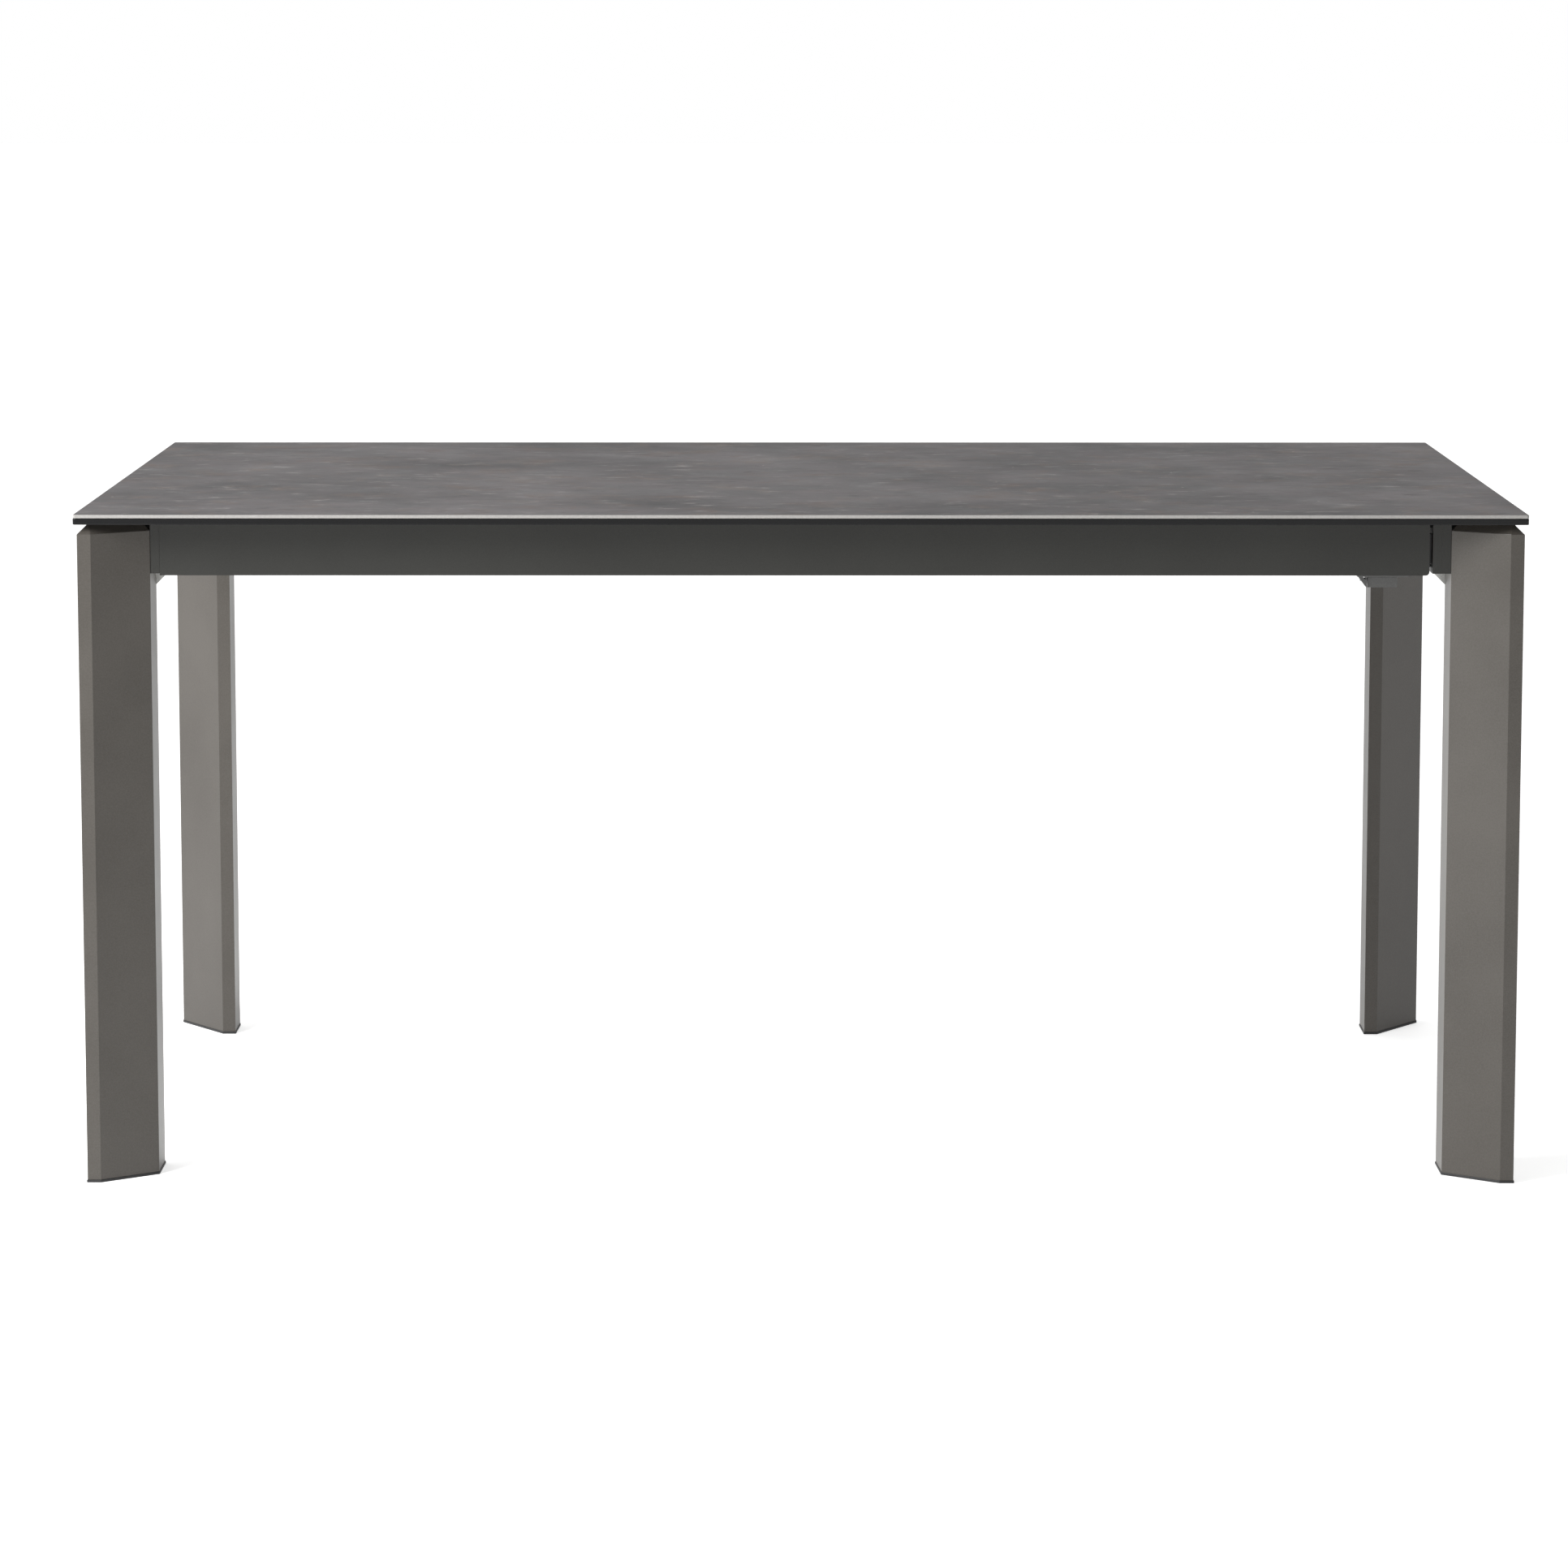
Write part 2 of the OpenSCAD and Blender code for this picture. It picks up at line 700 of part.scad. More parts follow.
module bearer() {
  difference() {
    box([bearer_x0, bearer_y - bearer_w / 2, bearer_z],
        [bearer_x1, bearer_y + bearer_w / 2, bearer_z + bearer_h]);
    box([bearer_x0 - 1, bearer_y - bearer_w / 2 + 2, bearer_z + 2],
        [bearer_x1 - 4, bearer_y + bearer_w / 2 - 2, bearer_z + bearer_h - 2]);
    for (x = arm_far_x) rod_y(x, bearer_y + 1, arm_y + 1, arm_z, arm_pin_r + seam);
  }
}

module both_y() {
  children();
  mirror([0, 1, 0]) children();
}

module leaf_bearers() { color(steel) both_y() bearer(); }

// Flat links that lie beside the bearers while the leaf is stored
module lift_arm(x) {
  difference() {
    union() {
      box([x - arm_l, arm_y, arm_z - arm_h / 2], [x, arm_y + arm_t, arm_z + arm_h / 2]);
      for (px = [x - arm_l, x]) rod_y(px, arm_y, arm_y + arm_t, arm_z, arm_h / 2);
    }
    for (px = [x - arm_l, x]) rod_y(px, arm_y - 1, arm_y + arm_t + 1, arm_z, arm_pin_r + pin_clear);
  }
}

module lift_arms() { color(steel) both_y() for (x = arm_far_x) lift_arm(x); }

module lift_arm_pins() {
  color(zinc)
    both_y()
      for (x = arm_far_x) {
        rod_y(x, bearer_y + bearer_w / 2 - 8, arm_y + arm_t, arm_z, arm_pin_r);
        rod_y(x, arm_y + arm_t, arm_y + arm_t + 1.5, arm_z, arm_pin_r + 1.5);
        rod_y(x - arm_l, arm_y, arm_y + arm_t + ear_t + running_gap, arm_z, arm_pin_r);
        rod_y(x - arm_l, arm_y + arm_t + ear_t + running_gap, arm_y + arm_t + ear_t + running_gap + 1.5,
              arm_z, arm_pin_r + 1.5);
      }
}

// Flat bars under the lower leaf half, with ears that reach down to the lift arms
module leaf_cradle() {
  ear_y = arm_y + arm_t + running_gap;
  color(steel)
    both_y() {
      difference() {
        union() {
          box([cradle_x0, bearer_y - bearer_w / 2, cradle_z],
              [cradle_x1, ear_y + ear_t, cradle_z + cradle_t]);
          for (x = arm_far_x)
            box([x - arm_l - 8, ear_y, arm_z - 6], [x - arm_l + 8, ear_y + ear_t, cradle_z + cradle_t]);
        }
        for (x = arm_far_x) rod_y(x - arm_l, ear_y - 1, ear_y + ear_t + 1, arm_z, arm_pin_r + seam);
      }
    }
}

leaf_y0 = -leaf_half_w / 2;
leaf_y1 = leaf_half_w / 2;

// The leaf folds like a book: ceramic faces inside, glass outside
module leaf_half(z0, z1) { slab(leaf_x0, leaf_x1, leaf_y0, leaf_y1, z0, z1); }

module leaf_lower_glass() { color(glass) leaf_half(leaf_z, leaf_z + glass_t); }
module leaf_lower_ceramic() { color(ceramic) leaf_half(leaf_z + glass_t, leaf_z + slab_t); }
module leaf_upper_ceramic() { color(ceramic) leaf_half(upper_leaf_z, upper_leaf_z + ceramic_t); }
module leaf_upper_glass() { color(glass) leaf_half(upper_leaf_z + ceramic_t, upper_leaf_z + slab_t); }

felt_inset = 40;
module leaf_felts() {
  color(felt)
    for (x = [leaf_x0 + felt_inset, leaf_x1 - felt_inset], y = [leaf_y0 + felt_inset, leaf_y1 - felt_inset])
      rod_z(x, y, leaf_z + slab_t, upper_leaf_z, 10);
}

hinge_x = [leaf_x0 + 80, (leaf_x0 + leaf_x1) / 2, leaf_x1 - 80];
hinge_w = 60;
hinge_plate_l = 30;
hinge_plate_t = 1.2;
knuckle_r = 2.4;
knuckle_gap = 0.2;
hinge_y = leaf_y1 + knuckle_r + running_gap;
hinge_z = (leaf_z + upper_leaf_z + slab_t) / 2;

// Plate on one half's glass, bent round the edge to a knuckle level with the ceramic faces
module hinge_plate(x0, x1, plate_z0, web_z0, web_z1) {
  box([x0, leaf_y1 - hinge_plate_l, plate_z0], [x1, hinge_y, plate_z0 + hinge_plate_t]);
  box([x0, leaf_y1 + running_gap, web_z0], [x1, leaf_y1 + running_gap + hinge_plate_t, web_z1]);
  rod_x(x0, x1, hinge_y, hinge_z, knuckle_r);
}

module leaf_hinge(x) {
  third = hinge_w / 3;
  lower_z = leaf_z - hinge_plate_t;
  upper_z = upper_leaf_z + slab_t;
  difference() {
    union() {
      for (i = [0, 2]) {
        x0 = x - hinge_w / 2 + i * third;
        hinge_plate(x0 + knuckle_gap, x0 + third - knuckle_gap, lower_z, lower_z, hinge_z);
      }
      hinge_plate(x - third / 2 + knuckle_gap, x + third / 2 - knuckle_gap,
                  upper_z, hinge_z, upper_z + hinge_plate_t);
    }
    rod_x(x - hinge_w / 2 - 1, x + hinge_w / 2 + 1, hinge_y, hinge_z, hinge_pin_r + pin_clear);
  }
}

module leaf_hinges() { color(steel) for (x = hinge_x) leaf_hinge(x); }

module leaf_hinge_pins() {
  color(zinc) for (x = hinge_x) rod_x(x - hinge_w / 2, x + hinge_w / 2, hinge_y, hinge_z, hinge_pin_r);
}

// ---------- Lock: a sprung brake lever under the front apron ----------

lock_x = apron_right - 47;                        // middle of the paddle
lock_x0 = lock_x - paddle_w / 2;
lock_x1 = lock_x + paddle_w / 2;
lock_low = apron_bottom - lock_drop;
lock_slope = 13;                                  // how far the sloped ear leans out at its top
lock_plate_t = 2;
lock_v = apron_inner_v + 5;                       // pivot axis, from the leg's outer face
lock_z = apron_bottom - 8;
lock_ear_x = lock_x1 - 8.5;                       // straight ear, hidden behind the paddle
lock_ear_v = lock_v - 6;
lock_back_v = lock_v + 8;
paddle_v = apron_inner_v - 5;
paddle_t = 2.5;
paddle_top = lock_z + 3.3;
paddle_r = 5;
lip_v = paddle_v - running_gap - lock_plate_t;    // housing's front lip, in front of the paddle's top
lip_low = paddle_top + 0.5;
barrel_r = 4.5;
arm_v = [lock_v + 6, lock_v + 12];                // the lever's arm that carries the brake pad
pad_t = 2;
spring_wire_r = 0.5;
spring_r = 3.1;
spring_turns = 5;
spring_pitch = 1.1;
barrel_x1 = lock_ear_x - spring_turns * spring_pitch - 1;
lock_bar_lo = [apron_inner_v + 5, apron_bottom + 5.5];
lock_bar_t = 3;
lock_bar_w = 16;

// Moving steel strip that the brake pad presses on
module lock_bar() {
  color(steel)
    on_side(-1)
      box([rail_x0 + 4, lock_bar_lo.x, lock_bar_lo.y],
          [leg_x - plate_u, lock_bar_lo.x + lock_bar_w, lock_bar_lo.y + lock_bar_t]);
}

// Outline that the housing's lip and the paddle share: its right edge leans and ends in a fillet
module lock_front() {
  r = paddle_r;
  top = apron_bottom - 1;
  low = lock_low + 0.5;
  difference() {
    polygon([
      [lock_x0 + 0.5, low], [lock_x1 - r, low], [lock_x1 - r + 1, top - r],
      [lock_x1 + 1, top - r], [lock_x1 + 1, apron_bottom], [lock_x0 + 0.5, apron_bottom]
    ]);
    translate([lock_x1 + 1, top - r]) circle(r = r, $fn = round_fn);
  }
}

// Draws an outline in X and Z as a plate from v0 to v1
module upright(v0, v1) {
  translate([0, v1, 0]) rotate([90, 0, 0]) linear_extrude(v1 - v0) children();
}

lock_slot = [5, 1.3];

// Pressed plate: a sloped ear with a slotted web at the left, a lip in front, an ear behind the paddle
module lock_housing() {
  slope_x = lock_x0 - lock_slope;
  web_x = lock_x0 - 0.5;
  color(lever_grey)
    on_side(-1)
      difference() {
        union() {
          box([slope_x, apron_v + 5, apron_bottom - lock_plate_t], [lock_x1 + 6, lock_v + 4, apron_bottom]);
          upright(lip_v, lock_back_v)
            polygon([
              [slope_x, apron_bottom], [slope_x + 3, apron_bottom], [web_x, lock_low + 3], [web_x, lock_low]
            ]);
          upright(lip_v, lip_v + lock_plate_t) {
            polygon([
              [slope_x, apron_bottom], [lock_x0 + 1, apron_bottom], [lock_x0 + 1, lip_low],
              [web_x, lip_low], [web_x, lock_low]
            ]);
            intersection() {
              lock_front();
              translate([lock_x0, lip_low]) square([paddle_w + 2, apron_bottom - lip_low]);
            }
          }
          box([lock_ear_x, lock_ear_v, lock_z - 6], [lock_ear_x + lock_plate_t, lock_back_v, apron_bottom]);
        }
        rod_x(slope_x - 1, lock_x1 + 8, lock_v, lock_z, lock_pin_r + seam);
        upright(lip_v - 1, lip_v + lock_plate_t + 1)
          translate([lock_x0 - 3.6, apron_bottom - 4.6])
            rotate(-atan2(lock_drop, lock_slope)) square(lock_slot, center = true);
      }
}

module lock_pin() {
  color(steel)
    on_side(-1)
      rod_x(lock_x0 - lock_slope + 6, lock_ear_x + lock_plate_t + 1, lock_v, lock_z, lock_pin_r);
}

module paddle() {
  upright(paddle_v, paddle_v + paddle_t)
    intersection() {
      lock_front();
      translate([lock_x0, lock_low]) square([paddle_w + 2, paddle_top - lock_low]);
    }
}

module lock_lever() {
  color(lever_grey)
    on_side(-1)
      difference() {
        union() {
          rod_x(lock_x0 + 1, barrel_x1, lock_v, lock_z, barrel_r);
          paddle();
          box([lock_x0 + 1, paddle_v + 1, lock_z - 2], [barrel_x1, lock_v, lock_z + 2]);
          box([lock_x0 + 3, lock_v, lock_z - 2], [barrel_x1 - 1, arm_v[1], lock_z + 2]);
          box([lock_x0 + 3, arm_v[0], lock_z - 2],
              [barrel_x1 - 1, arm_v[1], lock_bar_lo.y - pad_t - running_gap]);
        }
        rod_x(lock_x0, barrel_x1 + 1, lock_v, lock_z, lock_pin_r + pin_clear);
      }
}

module brake_pad() {
  color(rubber)
    on_side(-1)
      box([lock_x0 + 3, arm_v[0], lock_bar_lo.y - pad_t - running_gap],
          [barrel_x1 - 1, arm_v[1], lock_bar_lo.y - running_gap]);
}

// Closed torsion spring around the pin: touching rings stand for its turns
module lock_spring() {
  color(steel)
    on_side(-1)
      for (i = [0 : spring_turns - 1])
        translate([barrel_x1 + 1 + i * spring_pitch, lock_v, lock_z])
          rotate([0, 90, 0])
            rotate_extrude($fn = round_fn)
              translate([spring_r, 0]) circle(r = spring_wire_r, $fn = 16);
}

top_ceramic();
top_glass();
top_discs();
top_pads();
apron_front();
apron_back();
end_rail_fixed();
end_blocks_fixed();
leg_front_left();
leg_back_left();
leg_top_caps_fixed();
foot_caps_fixed();
leg_plates_fixed();
nut_plates_fixed();
corner_brackets_fixed();
corner_bolts_fixed();
cross_members();
cross_member_screws();
guide_strip();
guide_glides();
outer_rail_front();
outer_rail_back();
outer_rail_bushes();
lock_housing();
lock_pin();
lock_spring();
lock_lever();
brake_pad();
middle_rail_front();
middle_rail_back();
middle_bushes_front();
middle_bushes_back();
inner_rail_front();
inner_rail_back();
inner_bushes();
leg_front_right();
leg_back_right();
leg_top_caps_moving();
foot_caps_moving();
leg_plates_moving();
nut_plates_moving();
corner_brackets_moving();
corner_bolts_moving();
end_rail_moving();
end_rail_pads();
end_blocks_moving();
lock_bar();
end_buffers();
leaf_bearers();
lift_arms();
lift_arm_pins();
leaf_cradle();
leaf_lower_glass();
leaf_lower_ceramic();
leaf_upper_glass();
leaf_upper_ceramic();
leaf_felts();
leaf_hinges();
leaf_hinge_pins();
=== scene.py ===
"""An extendable dining table: a ceramic and glass top on a metal frame with four canted legs.

The end at +X pulls out on telescopic rails and brings the folded leaf with it.
"""

import math

import bpy
from mathutils import Matrix, Vector


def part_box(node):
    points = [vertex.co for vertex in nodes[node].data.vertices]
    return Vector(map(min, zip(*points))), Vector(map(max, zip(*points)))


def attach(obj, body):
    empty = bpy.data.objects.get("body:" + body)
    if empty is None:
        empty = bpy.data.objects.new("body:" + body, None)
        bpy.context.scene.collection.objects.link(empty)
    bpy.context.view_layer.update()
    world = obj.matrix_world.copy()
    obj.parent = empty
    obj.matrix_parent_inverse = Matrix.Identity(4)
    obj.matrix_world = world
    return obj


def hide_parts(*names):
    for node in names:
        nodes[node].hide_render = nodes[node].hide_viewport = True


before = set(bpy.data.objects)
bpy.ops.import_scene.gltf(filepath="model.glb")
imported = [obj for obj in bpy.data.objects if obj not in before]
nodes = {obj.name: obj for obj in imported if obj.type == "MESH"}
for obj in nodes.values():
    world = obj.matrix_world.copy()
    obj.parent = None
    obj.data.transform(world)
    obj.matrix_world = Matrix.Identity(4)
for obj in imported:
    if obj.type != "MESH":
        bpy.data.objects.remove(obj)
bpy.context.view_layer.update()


# ---------------------------------------------------------------------------
# Legs: canted tubes of 2 mm steel sheet, bent and welded shut, then powder coated in a pearly taupe grey.
# A die-cast cap with leaning sides closes each tube at the top and gets the same coat.
# ---------------------------------------------------------------------------

MM = 0.001


def linear(colour):
    """An sRGB hex colour as the linear values that a shader takes."""
    channels = [int(colour[i:i + 2], 16) / 255 for i in (1, 3, 5)]
    return tuple(c / 12.92 if c <= 0.04045 else ((c + 0.055) / 1.055) ** 2.4 for c in channels) + (1.0,)


def per(size_mm):
    """The scale at which a pattern repeats about every size_mm millimetres."""
    return 1000 / size_mm


def connect(node, inputs):
    """Sets a node's inputs, each to a number, a hex colour or the output of another node."""
    for socket, value in inputs.items():
        if isinstance(value, bpy.types.NodeSocket):
            node.id_data.links.new(value, node.inputs[socket])
        else:
            node.inputs[socket].default_value = linear(value) if isinstance(value, str) else value


def add(tree, kind, inputs, out=0, **settings):
    """Adds a shader node with its settings and inputs, and gives one of its outputs."""
    node = tree.nodes.new("ShaderNode" + kind)
    for name, value in settings.items():
        setattr(node, name, value)
    connect(node, inputs)
    return node.outputs[out]


# Sockets of a Mix node: the share of the second, two colours and what they give, and two plain numbers
SHARE, FIRST, SECOND, MIXED = 0, 6, 7, 2
FIRST_NUMBER, SECOND_NUMBER = 2, 3


def start_material(name):
    """An empty material, its node tree, its shader and the places on the object, in metres."""
    material = bpy.data.materials.new(name)
    material.use_nodes = True
    tree = material.node_tree
    return material, tree, tree.nodes["Principled BSDF"], tree.nodes.new("ShaderNodeTexCoord").outputs


def powder_coat(name, dark, light, roughness):
    """Baked powder: satin, with a fine orange peel in the highlights and a hardly visible cloudiness.

    The real peel is about 1 mm wide and the powder's own grain is finer. Both are drawn wider, so that
    they show.
    """
    material, tree, shader, place = start_material(name)
    at = place["Object"]
    cloud = add(tree, "TexNoise", {"Vector": at, "Scale": per(140), "Detail": 3, "Roughness": 0.5})
    grain = add(tree, "TexNoise", {"Vector": at, "Scale": per(1.6), "Detail": 2, "Roughness": 0.6})
    peel = add(tree, "TexNoise", {"Vector": at, "Scale": per(2.2), "Detail": 1.5, "Roughness": 0.5})
    fine = add(tree, "Math", {0: grain, 1: 0.45}, operation="MULTIPLY")
    both = add(tree, "Math", {0: cloud, 1: 0.55, 2: fine}, operation="MULTIPLY_ADD")
    tone = add(tree, "MapRange", {"Value": both, "From Min": 0.38, "From Max": 0.62})
    connect(shader, {
        "Base Color": add(tree, "Mix", {SHARE: tone, FIRST: dark, SECOND: light}, MIXED, data_type="RGBA"),
        "Roughness": add(tree, "MapRange", {"Value": cloud, "From Min": 0.3, "From Max": 0.7,
                                            "To Min": roughness - 0.03, "To Max": roughness + 0.03}),
        "Normal": add(tree, "Bump", {"Height": peel, "Strength": 0.15, "Distance": 0.04 * MM}),
    })
    return material


def finish(material, *names):
    """Gives CAD nodes their material."""
    for name in names:
        for slot in nodes[name].material_slots:
            slot.material = material


# How near to each other points are welded, how flat faces must lie to be joined, and what counts as an edge
WELD_WITHIN = 0.002 * MM
FLAT_WITHIN = math.radians(0.5)
SHARPER_THAN = math.radians(25)


def ease_edges(width_mm, *names, segments=2):
    """Breaks the sharp edges of CAD nodes, as bending, casting or sanding leaves them."""
    for name in names:
        piece = nodes[name]
        piece.modifiers.new("weld", "WELD").merge_threshold = WELD_WITHIN
        flat = piece.modifiers.new("flat", "DECIMATE")
        flat.decimate_type = "DISSOLVE"
        flat.angle_limit = FLAT_WITHIN
        bevel = piece.modifiers.new("bevel", "BEVEL")
        bevel.width = width_mm * MM
        bevel.segments = segments
        bevel.limit_method = "ANGLE"
        bevel.angle_limit = SHARPER_THAN
        piece.modifiers.new("normals", "WEIGHTED_NORMAL").keep_sharp = True


taupe_coat = powder_coat("taupe powder coat", "#4D4944", "#58544F", 0.31)
LEGS = ["leg_front_left", "leg_back_left", "leg_front_right", "leg_back_right"]
LEG_CAPS = ["leg_top_caps_fixed", "leg_top_caps_moving"]
finish(taupe_coat, *LEGS, *LEG_CAPS)
ease_edges(0.8, *LEGS, segments=3)
ease_edges(0.5, *LEG_CAPS)


# ---------------------------------------------------------------------------
# Feet: injection-moulded polypropylene caps, dark grey, with the fine spark-eroded grain of the mould.
# They plug into the tube and stand slightly proud of it.
# ---------------------------------------------------------------------------

def moulded_plastic(name, dark, light, roughness):
    """Moulded plastic: even colour, soft highlights and a fine grain that dulls them.

    The real grain is about 0.2 mm wide. It is drawn coarser, so that it shows.
    """
    material, tree, shader, place = start_material(name)
    at = place["Object"]
    grain = add(tree, "TexNoise", {"Vector": at, "Scale": per(0.9), "Detail": 2, "Roughness": 0.65})
    cloud = add(tree, "TexNoise", {"Vector": at, "Scale": per(30), "Detail": 3})
    connect(shader, {
        "Base Color": add(tree, "Mix", {SHARE: cloud, FIRST: dark, SECOND: light}, MIXED, data_type="RGBA"),
        "Roughness": add(tree, "MapRange", {"Value": grain, "From Min": 0.3, "From Max": 0.7,
                                            "To Min": roughness - 0.06, "To Max": roughness + 0.06}),
        "Normal": add(tree, "Bump", {"Height": grain, "Strength": 0.5, "Distance": 0.05 * MM}),
    })
    return material


foot_plastic = moulded_plastic("dark grey polypropylene", "#2A2A2B", "#343435", 0.5)
FEET = ["foot_caps_fixed", "foot_caps_moving"]
finish(foot_plastic, *FEET)
ease_edges(0.5, *FEET)


# ---------------------------------------------------------------------------
# Frame: steel profiles for the aprons, rectangular tubes for the end rails and cross members, and blocks and
# plates between them and the legs. It is welded, then powder coated in charcoal.
# ---------------------------------------------------------------------------

charcoal_coat = powder_coat("charcoal powder coat", "#2B2B28", "#32322F", 0.34)
APRONS = ["apron_front", "apron_back"]
CORNER_PLATES = ["end_blocks_fixed", "end_blocks_moving", "leg_plates_fixed", "leg_plates_moving"]
TUBES = ["end_rail_fixed", "end_rail_moving", "cross_members"]
finish(charcoal_coat, *APRONS, *CORNER_PLATES, *TUBES)
ease_edges(0.8, *APRONS)
ease_edges(1.1, *CORNER_PLATES)
ease_edges(0.7, *TUBES)


def solids(name):
    """The boxes, as (lowest corner, highest corner), of the separate solids in a CAD node."""
    mesh = nodes[name].data
    group = {}

    def find(key):
        """The point that stands for all those joined to this one."""
        while group[key] != key:
            group[key] = group[group[key]]
            key = group[key]
        return key

    keys = [tuple(round(c, 6) for c in v.co) for v in mesh.vertices]
    for key in keys:
        group.setdefault(key, key)
    for edge in mesh.edges:
        first, second = (find(keys[i]) for i in edge.vertices)
        group[first] = second
    members = {}
    for key in sorted(group):
        members.setdefault(find(key), []).append(key)
    return [tuple(Vector([side(v[i] for v in points) for i in range(3)]) for side in (min, max))
            for points in members.values()]


def skin(rings, closed=False):
    """Points and faces of a skin over rings of as many points each, with a cap at each end or joined up."""
    size = len(rings[0])
    points = [point for ring in rings for point in ring]
    faces = []
    for i in range(len(rings) if closed else len(rings) - 1):
        here, there = i * size, (i + 1) % len(rings) * size
        faces += [(here + j, here + (j + 1) % size, there + (j + 1) % size, there + j) for j in range(size)]
    if not closed:
        faces += [tuple(reversed(range(size))), tuple(range(len(points) - size, len(points)))]
    return points, faces


def along(path, radius, sides=12, closed=False):
    """A round skin around a path; radius gives its size at each point of the path."""
    turn = [2 * math.pi * j / sides for j in range(sides)]
    rings = []
    normal = None
    for i, point in enumerate(path):
        if closed:
            ahead = path[(i + 1) % len(path)] - path[i - 1]
        else:
            ahead = path[min(i + 1, len(path) - 1)] - path[max(i - 1, 0)]
        ahead.normalize()
        if normal is None:
            normal = ahead.orthogonal()
        normal = (normal - ahead * normal.dot(ahead)).normalized()
        other = ahead.cross(normal)
        rings.append([point + radius(i) * (math.cos(t) * normal + math.sin(t) * other) for t in turn])
    return skin(rings, closed)


def new_piece(name, shapes, material, body):
    """One mesh from several shapes, with its finish, that moves with a body."""
    points, faces = [], []
    for more_points, more_faces in shapes:
        faces += [tuple(i + len(points) for i in face) for face in more_faces]
        points += more_points
    mesh = bpy.data.meshes.new(name)
    mesh.from_pydata(points, [], faces)
    mesh.materials.append(material)
    mesh.shade_smooth()
    piece = bpy.data.objects.new(name, mesh)
    bpy.context.collection.objects.link(piece)
    piece.modifiers.new("normals", "WEIGHTED_NORMAL").keep_sharp = True
    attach(piece, body)
    return piece


def weld_bead(start, end, half_mm):
    """A bead of weld in a corner, with the scales that the puddle leaves, and thinner at its ends.

    half_mm is about half its thickness.
    """
    step_mm, scale_mm = 0.5, 2.4
    start, end = Vector(start), Vector(end)
    count = max(2, round((end - start).length / (step_mm * MM)))
    path = [start.lerp(end, i / count) for i in range(count + 1)]

    def radius(i):
        """The bead's size at a point of its path: scale by scale, and wandering like a hand."""
        scale = (i * step_mm / scale_mm) % 1.0
        taper = min(1.0, 0.35 + min(i, count - i) * step_mm / 3)
        wander = 0.06 * math.sin(i * 0.37 + start.x * 90)
        return half_mm * MM * taper * (0.88 + 0.16 * math.sqrt(scale) + wander)

    return along(path, radius)


def weld_beads():
    """Beads where cross tubes meet their end plates and where the flat strip meets the aprons."""
    tube_w, tube_h, end_plate = 40 * MM, 20 * MM, 3 * MM
    tube_bead_mm, strip_bead_mm = 1.7, 1.4
    beads = []
    for low, high in solids("cross_members"):
        middle = (low.x + high.x) / 2
        left, right = middle - tube_w / 2, middle + tube_w / 2
        for side, y in ((1, low.y), (-1, high.y)):
            if high.z - low.z > tube_h / 2:
                y += side * (end_plate + 0.2 * MM)
                bottom = high.z - tube_h
                for x in (left, right):
                    beads.append(weld_bead((x, y, bottom), (x, y, high.z - 1.5 * MM), tube_bead_mm))
                beads.append(weld_bead((left, y, bottom), (right, y, bottom), tube_bead_mm))
            else:
                y += side * 0.3 * MM
                start, end = (low.x + 2 * MM, y, low.z), (high.x - 2 * MM, y, low.z)
                beads.append(weld_bead(start, end, strip_bead_mm))
    return beads


new_piece("frame_welds", weld_beads(), charcoal_coat, "main_frame")


# ---------------------------------------------------------------------------
# Corner brackets, bolts and screws: zinc-plated steel, pressed or cold headed, with the faint cloudiness
# and fine rolling marks of bright zinc. The screws have domed heads with a six-lobed recess.
# ---------------------------------------------------------------------------

def plated_metal(name, dark, light, roughness, rolled=(1, 1, 1)):
    """Metal with a cloudy surface over marks that run along the axis with the smallest number in rolled.

    Real rolling marks are about 0.2 mm wide. They are drawn coarser, so that they show.
    """
    material, tree, shader, place = start_material(name)
    at = place["Object"]
    stretched = add(tree, "Mapping", {"Vector": at, "Scale": rolled})
    marks = add(tree, "TexNoise", {"Vector": stretched, "Scale": per(1.2), "Detail": 3, "Roughness": 0.6})
    cloud = add(tree, "TexNoise", {"Vector": at, "Scale": per(14), "Detail": 4, "Roughness": 0.6})
    both = add(tree, "Math", {0: marks, 1: cloud}, operation="ADD")
    tone = add(tree, "MapRange", {"Value": both, "From Min": 0.75, "From Max": 1.25})
    connect(shader, {
        "Base Color": add(tree, "Mix", {SHARE: tone, FIRST: dark, SECOND: light}, MIXED, data_type="RGBA"),
        "Roughness": add(tree, "MapRange", {"Value": tone, "To Min": roughness + 0.08,
                                            "To Max": roughness - 0.06}),
        "Normal": add(tree, "Bump", {"Height": marks, "Strength": 0.3, "Distance": 0.03 * MM}),
        "Metallic": 1.0,
    })
    return material


bright_zinc = plated_metal("bright zinc plate", "#BEBEBB", "#DCDCD9", 0.35)
BRACKETS = ["corner_brackets_fixed", "corner_brackets_moving"]
BOLTS = ["corner_bolts_fixed", "corner_bolts_moving"]
finish(bright_zinc, *BRACKETS, *BOLTS)
ease_edges(0.35, *BRACKETS)
ease_edges(0.4, *BOLTS)


